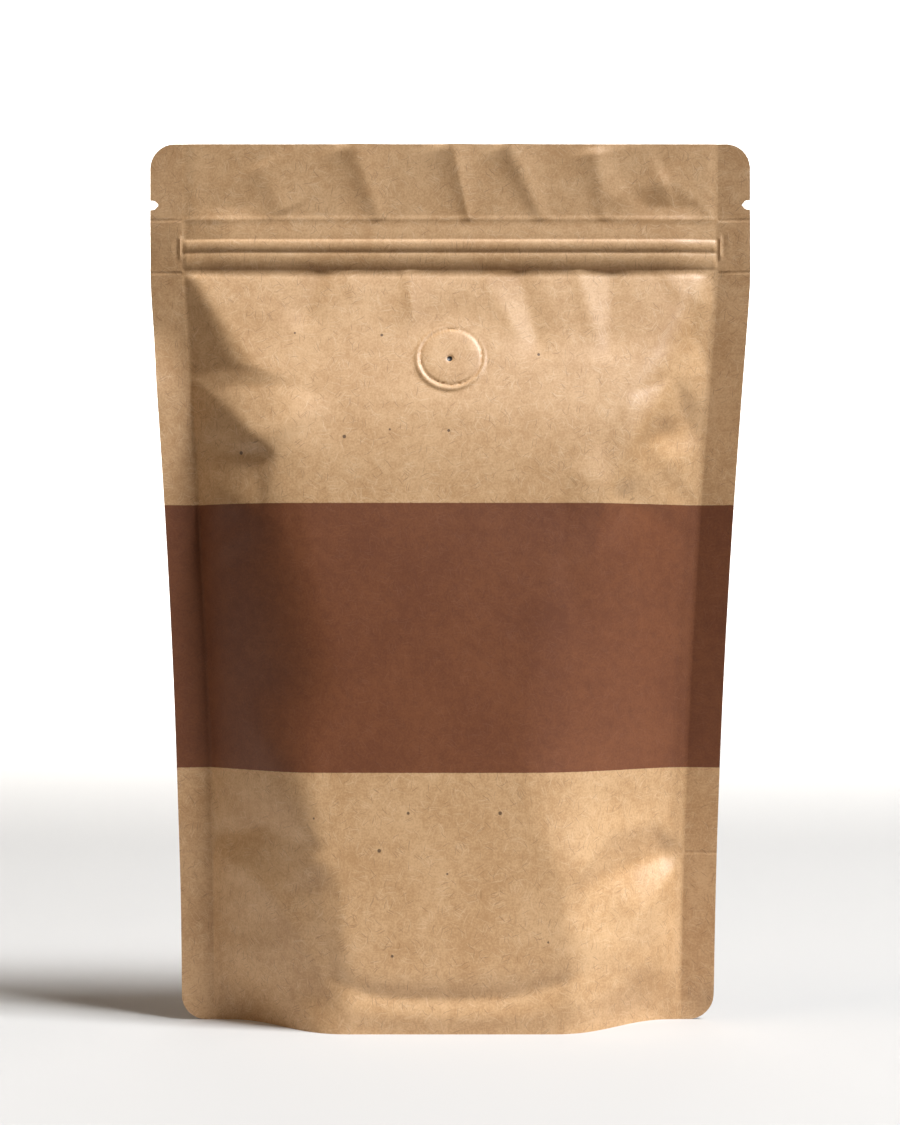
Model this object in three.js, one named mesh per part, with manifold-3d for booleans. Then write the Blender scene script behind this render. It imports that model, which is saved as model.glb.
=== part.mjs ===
// A filled stand-up coffee pouch of kraft paper laminate: two panels welded along both sides, a
// gusset folded up into the bottom, a press-to-close zip under the header, two tear notches and a
// one-way valve welded behind the front panel. The shut, full pouch is one solid, in millimetres.
// +Z is up, the front faces -Y, and the origin is the middle of the footprint on the table.
import * as THREE from "three";
import { mergeVertices } from "three/addons/utils/BufferGeometryUtils.js";
import Module from "manifold-3d";

// ---- Driving dimensions ----
const WIDTH = 160; // across both side welds, where the pouch is flat
const HEIGHT = 233; // standing, from the table to the top edge
const WELD = 8.5; // width of each side weld
const FILM = 0.5; // two layers of laminate welded together
const CORNER_RADIUS = 6.5; // of the four die-cut corners
const GUSSET = 44; // height of the gusset's fold where it meets the side welds
const ZIP_FOOT = 198.5; // height of the zip's lower edge, where the filled part begins
const ZIP_HEAD = 212.5; // height of the zip tape's upper edge
const TAPER = 9.5; // how far filling draws each side edge in, at the bottom
const LEAN = 0.65; // how far the bottom stands to the left of the top
const FULLNESS = 0.93; // of the depth that the drawn-in width leaves room for
const RIM_DEPTH = 26.5; // of each panel's bottom edge, in front of and behind the middle
const RIM_FLAT = 25; // half the stretch over which that edge runs straight
const RIM_END = 62; // where that edge is back in the middle plane
const SEAL_DIP = 8.6; // height of the curved gusset weld at its lowest
const SKIRT = 0.8; // thickness of each panel and gusset layer welded together below it
const VALVE_HEIGHT = 174.9; // of the valve's centre
const VALVE_RADIUS = 9.8; // out to the foot of the pressed ring
const VENT_RADIUS = 0.7; // of the pinhole in the valve's middle
const NOTCH_HEIGHT = 216.7;
const NOTCH_DEPTH = 2.25;
const NOTCH_MOUTH = 2.4;

const PANEL = WIDTH / 2 - WELD; // half the flat width of a panel between the welds
const WELD_TURN = 0.2; // slope at which the side welds turn to the front
const CROWN_CURVE = 0.05; // how much lower the filled front is beside the welds than in its middle
// Slopes of the side walls and the rounding where they meet the front, as [height, value] pairs.
const LEFT_WALL = [[12, 0.78], [35, 0.82], [60, 1.05], [135, 1.1], [172, 0.62], [192, 0.56]];
const RIGHT_WALL = [[30, 0.8], [80, 1.0], [150, 0.95], [190, 0.85]];
const RIGHT_FOOT = [[30, 0.6], [60, 6.5], [140, 6], [172, 1]]; // over which that wall leaves the weld
const LEFT_ROUND = [[5, 4], [64, 6], [90, 24], [130, 20], [167, 8], [174, 2.5], [192, 1.2]];
const RIGHT_ROUND = [[5, 2], [35, 5], [80, 15], [150, 11], [185, 4]];
const HEADER_PUFF = 1.1; // how far the header's two layers part above the zip
const ZIP_TAPE = 1.2; // half the thickness of the closed zip, film included
const ZIP_JOIN = 1.5; // over which the panel turns into the zip's foot
const UNDER_ZIP_SLOPE = 0.32; // at which each panel leaves the zip's foot
const ZIP_RIDGES = [
  { centre: 205.3, half: 1.9, rise: 1.0 },
  { centre: 201.3, half: 2.5, rise: 0.9 },
];

// A fold runs from a side weld to a point inside the panel. It stands out by rise in its middle, or
// is pressed in where rise is negative; above and below are the reach of its two facets.
const FRONT_FOLDS = [
  { from: [-69.1, 170.6], to: [-46, 149], rise: 2.3, above: 8, below: 8 },
  { from: [-67.6, 151], to: [-47, 149], rise: -1.6, above: 7, below: 8 },
  { from: [64, 179], to: [40, 141], rise: 1.9, above: 9, below: 8 },
  { from: [68.3, 162.5], to: [51, 152], rise: -1.6, above: 7, below: 6 },
  { from: [62.6, 45.6], to: [32, 38], rise: -3.2, above: 9, below: 6 },
  { from: [62.3, 44], to: [39, 13.5], rise: 2.2, above: 8, below: 9 },
  { from: [-64.2, 47.5], to: [-40, 60], rise: -2.6, above: 9, below: 6 },
  { from: [-63.6, 45], to: [-34, 20], rise: 1.8, above: 7, below: 10 },
];
const BACK_FOLDS = [
  { from: [68.9, 169], to: [44, 146], rise: 2.2, above: 8, below: 8 },
  { from: [67.2, 149], to: [48, 148], rise: -1.5, above: 7, below: 8 },
  { from: [-69.6, 183], to: [-42, 150], rise: 1.7, above: 11, below: 9 },
  { from: [-67.8, 158], to: [-44, 149], rise: -2.4, above: 8, below: 7 },
  { from: [-63, 46], to: [-32, 38], rise: -3, above: 9, below: 6 },
  { from: [-62.7, 44.3], to: [-39, 14], rise: 2, above: 8, below: 9 },
  { from: [62.8, 47.5], to: [40, 60], rise: -2.3, above: 9, below: 6 },
  { from: [62.4, 45], to: [34, 18], rise: 1.6, above: 7, below: 10 },
];

// Soft upright ripples of the header: where the crest is, its reach either side, and its height.
const HEADER_RIPPLES = [
  [-52, 9, 0.5],
  [-20, 7, 0.7],
  [1.5, 6, 0.55],
  [21.5, 7, 0.65],
  [56, 12, 0.8],
];

// ---- Small helpers ----
const clamp = (v, low, high) => Math.min(high, Math.max(low, v));
const mix = (a, b, u) => a + (b - a) * u;
const ease = (low, high, v) => {
  const u = clamp((v - low) / (high - low), 0, 1);
  return u * u * (3 - 2 * u);
};
const softEase = (low, high, v) => {
  const u = clamp((v - low) / (high - low), 0, 1);
  return u * u * u * (u * (6 * u - 15) + 10);
};
// The larger of a and b, rounded off where they cross.
const softMax = (a, b, round) => {
  const u = clamp((round - Math.abs(a - b)) / round, 0, 1);
  return Math.max(a, b) + (round * u * u) / 4;
};
const softMin = (a, b, round) => -softMax(-a, -b, round);
const bump = (d, reach) => Math.exp(-((d / reach) ** 2));

// Smooth values between [height, value] pairs, from the lowest up.
function atHeight(z, pairs) {
  let value = pairs[0][1];
  for (let i = 1; i < pairs.length; i++) {
    value += (pairs[i][1] - pairs[i - 1][1]) * ease(pairs[i - 1][0], pairs[i][0], z);
  }
  return value;
}

// ---- The pouch's outline ----
function halfWidth(z) {
  const down = clamp((ZIP_FOOT - z) / ZIP_FOOT, 0, 1);
  const eased = (down * down) / (down + 0.03);
  return WIDTH / 2 - TAPER * (1 - (1 - eased) ** 1.8);
}
const middleX = (z) => -LEAN * clamp((ZIP_FOOT - z) / ZIP_FOOT, 0, 1);
const chord = (z) => halfWidth(z) - WELD; // half the width left between the welds

// Where a point of the flat panel goes across the pouch: a is its flat distance from the middle.
function across(a, z) {
  const c = chord(z);
  const flat = Math.abs(a) - PANEL;
  if (flat >= 0) return middleX(z) + Math.sign(a) * (c + flat);
  const t = a / PANEL;
  const spare = PANEL / c - 1;
  return middleX(z) + c * t * (1 + spare - spare * t * t);
}

// ---- The filled shape ----
// Depth of the belly at its deepest. The film doesn't stretch, so the width that it has lost
// has gone into its curve.
function bellyDepth(z) {
  const c = chord(z);
  const filled = FULLNESS * c * Math.sqrt(1.5 * (PANEL / c - 1));
  const underZip = ZIP_TAPE + UNDER_ZIP_SLOPE * (ZIP_FOOT - z);
  return mix(filled, underZip, ease(140, 186, z));
}
// Height of a side wall over its weld, which it leaves softly over about the length foot.
const wall = (distance, steepness, foot) =>
  steepness * (distance + foot * (Math.exp(-Math.max(0, distance) / foot) - 1));

// Depth of one filled panel: its crown, cut by a slanting wall along each side weld.
function belly(x, z) {
  const c = chord(z);
  const crown = bellyDepth(z) * (1 - CROWN_CURVE * (x / c) ** 2);
  const left = atHeight(z, LEFT_WALL) * (x - middleX(z) + c);
  const right = wall(c - x + middleX(z), atHeight(z, RIGHT_WALL), atHeight(z, RIGHT_FOOT));
  return softMin(softMin(crown, right, atHeight(z, RIGHT_ROUND)), left, atHeight(z, LEFT_ROUND));
}
const rimDepth = (x) => RIM_DEPTH * (1 - softEase(RIM_FLAT, RIM_END, Math.abs(x)));
// Height of the curved weld that joins gusset and panel, lowest in the middle.
const gussetWeld = (x) => SEAL_DIP + (GUSSET - SEAL_DIP) * Math.min(1, Math.abs(x) / 63) ** 2.8;

function foldHeight(x, z, folds) {
  let total = 0;
  for (const { from, to, rise, above, below } of folds) {
    const dx = to[0] - from[0];
    const dz = to[1] - from[1];
    const length = Math.hypot(dx, dz);
    const along = ((x - from[0]) * dx + (z - from[1]) * dz) / length ** 2;
    const off = (((z - from[1]) * dx - (x - from[0]) * dz) / length) * Math.sign(dx);
    const beside = 1 - Math.abs(off) / (off > 0 ? above : below);
    const lengthwise = 2 * Math.min(along, 1 - along);
    total += rise * softMax(0, beside, 0.1) * softMax(0, lengthwise, 0.1);
  }
  return total;
}

function zipHeight(z) {
  let h = ZIP_TAPE;
  for (const { centre, half, rise } of ZIP_RIDGES) {
    const u = clamp(1 - Math.abs(z - centre) / half, 0, 1);
    h = Math.max(h, ZIP_TAPE + rise * Math.sqrt(u * (2 - u)));
  }
  return h;
}

// Half the pouch's thickness at flat distance a from the middle and height z, on one panel.
function panelDepth(a, z, folds) {
  const t = clamp(a / PANEL, -1, 1);
  const x = across(clamp(a, -PANEL, PANEL), z);
  const edge = 1 - t * t; // 0 at the welds
  if (Math.abs(t) >= 1) return FILM / 2;
  if (z >= ZIP_HEAD) {
    const puff = HEADER_PUFF * ease(0, 0.25, edge) * (1 - ease(ZIP_HEAD + 1, HEIGHT - 2, z));
    return FILM / 2 + puff;
  }
  const ends = ease(0, 0.09, edge); // the zip is crushed flat where the welds run over it
  if (z >= ZIP_FOOT) return mix(FILM / 2, zipHeight(z), ends);
  const weld = gussetWeld(x);
  const dip = 1.5 * bump(z - weld, 4) * ease(0, 0.5, edge);
  let h = belly(x, z) - dip;
  if (z < weld) h = mix(rimDepth(x), belly(x, weld) - dip, ease(0, 0.6, z / weld));
  h += foldHeight(x, z, folds);
  const join = ease(ZIP_FOOT - ZIP_JOIN, ZIP_FOOT, z);
  return softMax(FILM / 2, mix(h, zipHeight(ZIP_FOOT) * ends, join), 1.2 * ease(0, 0.1, edge) + 1e-3);
}

// The plane midway between the panels: the turned welds, and the rippled header.
function middleY(a, z) {
  const outside = Math.max(0, Math.abs(a) - PANEL);
  const leftFades = a < 0 ? 1 - ease(165, 185, z) : 1;
  const turned = WELD_TURN * outside * ease(0, 30, z) * leftFades;
  let ripple = 0;
  for (const [centre, reach, rise] of HEADER_RIPPLES) ripple += rise * bump(a - centre, reach);
  return -turned - ripple * ease(ZIP_HEAD, HEIGHT, z);
}

// A rigid valve disc holds the film flat around it.
const SLOPE_STEP = 1;
const valveDepth = panelDepth(0, VALVE_HEIGHT, FRONT_FOLDS);
const valveSlope =
  (panelDepth(0, VALVE_HEIGHT + SLOPE_STEP, FRONT_FOLDS) -
    panelDepth(0, VALVE_HEIGHT - SLOPE_STEP, FRONT_FOLDS)) /
  (2 * SLOPE_STEP);

function frontDepth(a, z) {
  const h = panelDepth(a, z, FRONT_FOLDS);
  const plane = valveDepth + valveSlope * (z - VALVE_HEIGHT);
  const away = Math.hypot(across(a, z), z - VALVE_HEIGHT);
  return mix(plane, h, ease(VALVE_RADIUS + 1, VALVE_RADIUS + 10, away));
}
const backDepth = (a, z) => panelDepth(a, z, BACK_FOLDS);

// ---- The grid of the film ----
// Flat distances of the columns: close together at the welds, where the film turns.
function columns() {
  const half = 13;
  const list = [];
  for (let i = -half; i <= half; i++) {
    const s = i / half;
    list.push(PANEL * Math.sign(s) * (1 - (1 - Math.abs(s)) ** 1.5));
  }
  const arc = 4;
  for (let i = 1; i <= arc; i++) {
    const a = WIDTH / 2 - CORNER_RADIUS * (1 - Math.sin((i / arc) * (Math.PI / 2)));
    list.push(a);
    list.unshift(-a);
  }
  return list;
}

function spread(low, high, count) {
  return Array.from({ length: count }, (_, i) => mix(low, high, i / count));
}
function rows() {
  const zip = [ZIP_FOOT - ZIP_JOIN, ZIP_FOOT];
  for (const { centre, half } of [...ZIP_RIDGES].reverse()) {
    zip.push(centre - 0.6 * half, centre + 0.6 * half, centre + half);
  }
  return [
    ...spread(0, 2 * SEAL_DIP, 6),
    ...spread(2 * SEAL_DIP, GUSSET + 8, 6),
    ...spread(GUSSET + 8, 130, 10),
    ...spread(130, ZIP_FOOT - ZIP_JOIN, 13),
    ...zip,
    ...spread(ZIP_HEAD, HEIGHT, 4),
    HEIGHT,
  ];
}

// How far the die-cut corner takes the top and bottom edges in at flat distance a.
function cornerCut(a) {
  const past = Math.abs(a) - (WIDTH / 2 - CORNER_RADIUS);
  if (past <= 0) return 0;
  return CORNER_RADIUS - Math.sqrt(Math.max(0, CORNER_RADIUS ** 2 - past ** 2));
}

// Each quad is split along the diagonal that starts at its first corner.
function closedGeometry(points, quads) {
  const position = [];
  for (const [a, b, c, d] of quads) {
    for (const p of [a, b, c, a, c, d]) position.push(...points[p]);
  }
  const geometry = new THREE.BufferGeometry();
  geometry.setAttribute("position", new THREE.Float32BufferAttribute(position, 3));
  return mergeVertices(geometry, 1e-4);
}

// Joins two sheets of points, each [column][row], into one closed skin.
function closedSkin(front, back) {
  const nColumns = front.length;
  const nRows = front[0].length;
  const points = [...front.flat(), ...back.flat()];
  const f = (i, j) => i * nRows + j;
  const b = (i, j) => nColumns * nRows + i * nRows + j;
  const quads = [];
  for (let i = 0; i + 1 < nColumns; i++) {
    const onLeft = 2 * i < nColumns - 1; // the diagonals of the two halves mirror each other
    for (let j = 0; j + 1 < nRows; j++) {
      const facing = [f(i, j), f(i + 1, j), f(i + 1, j + 1), f(i, j + 1)];
      const behind = [b(i + 1, j), b(i, j), b(i, j + 1), b(i + 1, j + 1)];
      if (onLeft) facing.push(facing.shift());
      if (!onLeft) behind.push(behind.shift());
      quads.push(facing, behind);
    }
    quads.push([f(i, 0), b(i, 0), b(i + 1, 0), f(i + 1, 0)]);
    quads.push([f(i, nRows - 1), f(i + 1, nRows - 1), b(i + 1, nRows - 1), b(i, nRows - 1)]);
  }
  for (let j = 0; j + 1 < nRows; j++) {
    quads.push([f(0, j), f(0, j + 1), b(0, j + 1), b(0, j)]);
    quads.push([f(nColumns - 1, j), b(nColumns - 1, j), b(nColumns - 1, j + 1), f(nColumns - 1, j + 1)]);
  }
  return closedGeometry(points, quads);
}

// The outside of the full pouch, with a flat underside.
function filledBody() {
  const heights = rows();
  const sheet = (side, depthAt) =>
    columns().map((a) => {
      const cut = cornerCut(a);
      return heights.map((level) => {
        const z = cut + (level / HEIGHT) * (HEIGHT - 2 * cut);
        return [across(a, z), middleY(a, z) + side * depthAt(a, z), z];
      });
    });
  return closedSkin(sheet(-1, frontDepth), sheet(1, backDepth));
}

// The space under the gusset: walled by the two skirts and roofed by the gusset's film, which
// the coffee presses down onto the table in the middle.
function gussetHollow() {
  const reach = 67; // flat distance beyond which the skirts are too close together to part
  const levels = 8; // up each skirt
  const nRoof = 5; // from a skirt to the fold in the middle
  const below = -4; // the cut runs on under the table
  const foldHeight = (x) => -1.2 + (GUSSET + 1.2) * ease(14, 66, Math.abs(x)) ** 0.9;
  const sheet = (side, depthAt) =>
    columns()
      .filter((a) => Math.abs(a) < reach)
      .map((a) => {
        const top = gussetWeld(across(a, 0)) - 1;
        const wallPoint = (z) => [across(a, z), side * (depthAt(a, Math.max(0, z)) - SKIRT), z];
        const [x, wall] = wallPoint(top);
        const roof = spread(1, 0, nRoof).concat(0);
        return [
          ...[below, ...spread(0, top, levels).slice(1)].map(wallPoint),
          ...roof.map((u) => [x, u ** 0.8 * wall, mix(foldHeight(x), top, u ** 2.4)]),
        ];
      });
  return closedSkin(sheet(-1, frontDepth), sheet(1, backDepth));
}

// ---- Notches and valve ----
function tearNotch(side) {
  const half = NOTCH_MOUTH / 2;
  const outline = new THREE.Shape();
  outline.moveTo(3, -half);
  outline.lineTo(3, half);
  outline.lineTo(half - NOTCH_DEPTH, half);
  outline.lineTo(-NOTCH_DEPTH, 0);
  outline.lineTo(half - NOTCH_DEPTH, -half);
  outline.closePath();
  const geometry = new THREE.ExtrudeGeometry(outline, { depth: 8, bevelEnabled: false });
  geometry.translate(0, 0, -4);
  geometry.rotateX(Math.PI / 2);
  if (side < 0) geometry.rotateZ(Math.PI);
  return geometry.translate(side * (WIDTH / 2), 0, NOTCH_HEIGHT);
}

// Puts a shape turned about +Y onto the front panel at the valve, facing out.
function ontoValve(geometry) {
  return geometry
    .rotateX(Math.PI + Math.atan(valveSlope))
    .translate(0, -valveDepth, VALVE_HEIGHT);
}

// The film pressed over the rigid valve: a rounded ring around a raised disc.
function valveRelief() {
  const outline = [
    [0, -2],
    [VALVE_RADIUS, -2],
    [VALVE_RADIUS, -0.1],
    [VALVE_RADIUS - 0.7, 0.55],
    [VALVE_RADIUS - 1.3, 0.55],
    [VALVE_RADIUS - 1.9, 0.1],
    [VALVE_RADIUS - 2.4, 0.45],
    [VENT_RADIUS, 0.55],
    [VENT_RADIUS, 0.1],
    [0, 0.1],
  ];
  return ontoValve(new THREE.LatheGeometry(outline.map(([r, y]) => new THREE.Vector2(r, y)), 28));
}

// ---- The pouch as one solid ----
const wasm = await Module();
wasm.setup();

function solid(geometry) {
  const bare = geometry.clone();
  bare.deleteAttribute("normal");
  bare.deleteAttribute("uv");
  const merged = mergeVertices(bare, 1e-4);
  return new wasm.Manifold(
    new wasm.Mesh({
      numProp: 3,
      vertProperties: merged.attributes.position.array,
      triVerts: new Uint32Array(merged.index.array),
    }),
  );
}

function geometryOf(body) {
  const { vertProperties, triVerts } = body.getMesh();
  const geometry = new THREE.BufferGeometry();
  geometry.setAttribute("position", new THREE.BufferAttribute(vertProperties, 3));
  geometry.setIndex(new THREE.BufferAttribute(triVerts, 1));
  return geometry;
}

const pouchSolid = solid(filledBody())
  .subtract(solid(gussetHollow()))
  .subtract(solid(tearNotch(-1)))
  .subtract(solid(tearNotch(1)))
  .add(solid(valveRelief()));

const kraft = new THREE.MeshStandardMaterial({ color: 0xc8a27c, roughness: 0.8, metalness: 0 });
const pouch = new THREE.Mesh(geometryOf(pouchSolid), kraft);
pouch.name = "pouch";

const coffeePouch = new THREE.Group();
coffeePouch.add(pouch);

export default coffeePouch;
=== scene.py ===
# %% [markdown]
# # A kraft paper coffee pouch
#
# The finished object is a filled, shut stand-up pouch: two panels of paper laminate welded along
# both sides, a gusset folded up into the base, a press-to-close zip under the header, two tear
# notches and a pressed ring where a one-way valve sits behind the front panel. Around its middle
# runs a band of dark brown print.
#
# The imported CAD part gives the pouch's size and place. Everything here is measured in millimetres
# first and turned into Blender's metres when the mesh is made.

# %% Load the frame
import math

import bpy
import numpy as np
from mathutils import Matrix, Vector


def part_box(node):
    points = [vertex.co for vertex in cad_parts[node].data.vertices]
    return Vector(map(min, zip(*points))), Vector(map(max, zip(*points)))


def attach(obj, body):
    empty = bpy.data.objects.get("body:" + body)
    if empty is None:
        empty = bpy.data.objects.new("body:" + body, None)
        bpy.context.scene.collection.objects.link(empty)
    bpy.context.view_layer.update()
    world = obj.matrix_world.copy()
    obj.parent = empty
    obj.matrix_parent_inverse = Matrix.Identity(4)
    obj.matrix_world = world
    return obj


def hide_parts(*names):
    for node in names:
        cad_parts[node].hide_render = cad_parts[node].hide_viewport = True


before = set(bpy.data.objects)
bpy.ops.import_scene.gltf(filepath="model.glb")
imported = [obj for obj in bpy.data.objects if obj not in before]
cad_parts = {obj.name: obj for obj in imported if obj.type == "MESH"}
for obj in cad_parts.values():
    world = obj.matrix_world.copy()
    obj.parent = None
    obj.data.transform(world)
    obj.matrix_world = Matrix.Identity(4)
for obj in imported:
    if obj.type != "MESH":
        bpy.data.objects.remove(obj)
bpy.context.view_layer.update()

low, high = (np.array(corner) * 1000 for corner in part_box("pouch"))
width, depth, height = high - low
print(f"pouch: {width:.1f} mm wide, {depth:.1f} mm deep, {height:.1f} mm tall")

# %% [markdown]
# ## The outline
#
# A pouch is cut flat, so it's easiest to describe in the flat: `a` is the distance from its middle
# line and `z` is the height up the film. Filling pulls the side welds in towards each other, most at
# the base, and the film that is no longer needed across becomes the depth of the belly. Modelling
# the flat sheet first, and then where each of its points goes, keeps print and paper grain from
# stretching. Sculpting a blob would be quicker to start, but it would stretch both.

# %% Sizes of the flat pouch
weld = 8.5                          # width of a side weld
panel = width / 2 - weld            # half the flat width between the welds
film = 0.5                          # two layers welded together
corner_radius = 6.5
zip_foot, zip_head = 198.5, 212.5   # where the zip's tape starts and stops
gusset = 44.0                       # height of the gusset's fold at the side welds
print(f"panel: {2 * panel:.1f} mm between the welds")

# %% [markdown]
# ## Helpers that shape numbers
#
# The whole form is written as heights over a flat sheet, and those heights come from a few plain
# curves. `ease` runs from 0 to 1 with soft ends, `bump` is a bell, and `soft_min` and `soft_max` take
# the lower or higher of two surfaces and round the edge where they cross. NumPy works them out for
# every point of the mesh at once.

# %% Curves
def mix(a, b, u):
    return a + (b - a) * u


def ease(start, end, v):
    u = np.clip((v - start) / (end - start), 0, 1)
    return u * u * (3 - 2 * u)


def soft_max(a, b, round_by):
    """The larger of a and b, rounded off where they cross."""
    u = np.clip((round_by - np.abs(a - b)) / round_by, 0, 1)
    return np.maximum(a, b) + round_by * u * u / 4


def soft_min(a, b, round_by):
    return -soft_max(-a, -b, round_by)


def bump(distance, reach):
    return np.exp(-((distance / reach) ** 2))


def at_heights(z, *stations):
    """Smooth values between (height, value) pairs, from the lowest up."""
    value = np.full_like(np.asarray(z, float), stations[0][1])
    for (z0, v0), (z1, v1) in zip(stations, stations[1:]):
        value = value + (v1 - v0) * ease(z0, z1, z)
    return value


print(f"halfway up an ease: {ease(0, 1, 0.5):.2f}")

# %% [markdown]
# ## The width that filling takes
#
# A full pouch is narrower than a flat one. In the photo the side edges stay upright beside the zip
# and then draw in, quickly at first, towards the table. `chord` is half the width left between the
# welds at a height. `across` then says where a point of the flat panel ends up: the middle is spread
# out and the sides are turned away from us, as on any bulging sheet seen from the front.

# %% From the flat sheet to the filled width
taper = 9.5                         # how far each side weld is drawn in at the table
lean = 0.65                         # how far the base stands to the left of the top


def filled_down(z):
    """0 at the zip's foot and above, 1 at the table."""
    return np.clip((zip_foot - z) / zip_foot, 0, 1)


def chord(z):
    """Half the width that is left between the side welds."""
    down = filled_down(z)
    eased = down * down / (down + 0.03)
    return width / 2 - taper * (1 - (1 - eased) ** 1.8) - weld


def across(a, z):
    """Where the flat distance a ends up across the filled pouch."""
    c = chord(z)
    t = np.clip(a / panel, -1, 1)
    spare = panel / c - 1
    inside = c * t * (1 + spare - spare * t * t)
    outside = np.sign(a) * np.maximum(0, np.abs(a) - panel)
    return inside + outside - lean * filled_down(z)


print(f"half the width between the welds: {chord(zip_foot):.1f} mm at the zip, {chord(0.0):.1f} at the table")

# %% [markdown]
# ## The belly
#
# Paper laminate bends but hardly stretches. The depth of the belly at each height is worked out from
# the width it has lost, with the length of a shallow arc. Just under the zip the film is held, so
# there the depth follows a straight slope instead. High up the cross-section is a soft lens. Lower
# down, the coffee pushes the front flat and leaves two plain slanting sides. So each panel is a
# crown, cut by a wall along each weld, and the wide rounding between crown and wall is what makes
# the long soft shade down the left of the pouch.

# %% Crown and side walls
def belly_depth(z):
    fullness = 0.93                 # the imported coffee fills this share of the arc
    c = chord(z)
    arc = fullness * c * np.sqrt(1.5 * (panel / c - 1))
    under_zip = 1.2 + 0.32 * (zip_foot - z)
    return mix(arc, under_zip, ease(140, 186, z))


def side_wall(distance, steepness, foot):
    """Height over a weld of a side wall that leaves it softly, over about the length foot."""
    return steepness * (distance + foot * (np.exp(-np.clip(distance, 0, None) / foot) - 1))


# values by height, as (height, value) pairs
crown_curve = [(45, 0.05), (75, 0.09), (130, 0.09), (150, 0.05)]
left_steepness = [(12, 0.78), (35, 0.82), (60, 1.05), (135, 1.1), (172, 0.62), (192, 0.56)]
left_rounding = [(5, 2.5), (40, 3.0), (64, 6.0), (90, 17.0), (130, 15.0), (167, 8.0), (174, 2.5), (192, 1.2)]
right_steepness = [(30, 0.95), (80, 1.0), (150, 0.95), (190, 0.85)]
right_foot = [(30, 0.6), (60, 6.5), (140, 6.0), (172, 1.0)]
right_rounding = [(5, 2.0), (35, 5.0), (80, 15.0), (150, 11.0), (185, 4.0)]
left_foot = 0.25


def belly(x, z):
    """Depth of one panel in front of the middle plane."""
    c = chord(z)
    from_left = x + lean * filled_down(z) + c
    from_right = c - x - lean * filled_down(z)
    crown = belly_depth(z) * (1 - at_heights(z, *crown_curve) * (x / c) ** 2)
    left = side_wall(from_left, at_heights(z, *left_steepness), left_foot)
    right = side_wall(from_right, at_heights(z, *right_steepness), at_heights(z, *right_foot))
    crown_and_right = soft_min(crown, right, at_heights(z, *right_rounding))
    return soft_min(crown_and_right, left, at_heights(z, *left_rounding))


for level in (170.0, 100.0, 50.0):
    print(f"belly: {belly_depth(level):.1f} mm deep at {level:.0f} mm up")

# %% [markdown]
# ## The foot
#
# A curved weld joins the panel to the gusset. It dips almost to the table in the middle and climbs
# to the gusset's fold at the side welds. Below it hangs the skirt, the doubled edge that the pouch
# stands on. Its lower edge stands out in front in a broad curve and comes back to the middle plane
# at the sides. That edge is a measured curve, and the skirt simply runs from it up to the weld.

# %% Gusset weld and skirt
def gusset_weld(x):
    """Height of the curved weld between gusset and panel."""
    dip, half_width = 9.2, 63
    return dip + (gusset - dip) * np.minimum(1, np.abs(x) / half_width) ** 2.8


def rim_depth(x):
    """How far the bottom edge stands out in front of and behind the middle plane."""
    full, turns_at, meets_at = 26.5, 25, 62
    u = np.clip((np.abs(x) - turns_at) / (meets_at - turns_at), 0, 1)
    return full * (1 - u ** 3 * (u * (6 * u - 15) + 10))


def filled_depth(x, z):
    """The belly above the gusset's weld, pinched where it meets the weld, and the skirt below it."""
    weld_at = gusset_weld(x)
    near = np.sqrt((z - weld_at) ** 2 + 0.25) - 0.5
    pinch = 1.5 * np.exp(-near / 3.2) * (1 - ease(27, 38, np.abs(x)))
    at_weld = belly(x, weld_at) - pinch
    skirt_depth = mix(rim_depth(x), at_weld, ease(0, 0.6, z / weld_at))
    return np.where(z < weld_at, skirt_depth, belly(x, z) - pinch)


print(f"gusset weld: {gusset_weld(0.0):.1f} mm up in the middle, {gusset_weld(55.0):.1f} mm at 55 mm from it")

# %% [markdown]
# ## Folds beside the welds
#
# Where a belly meets a straight weld there is film to spare, and stiff paper takes it up in flat
# facets with sharp folds between them. Cloth simulation could find such folds, but not the ones in
# the photo. So each fold is drawn as a line of points over the front: how far across, how high up,
# and how far it stands out (or sinks in, below 0). Triangles between the lines make the facets.
# Points that stay at 0, along the welds and in the calm middle, keep the folds where they belong.

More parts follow.
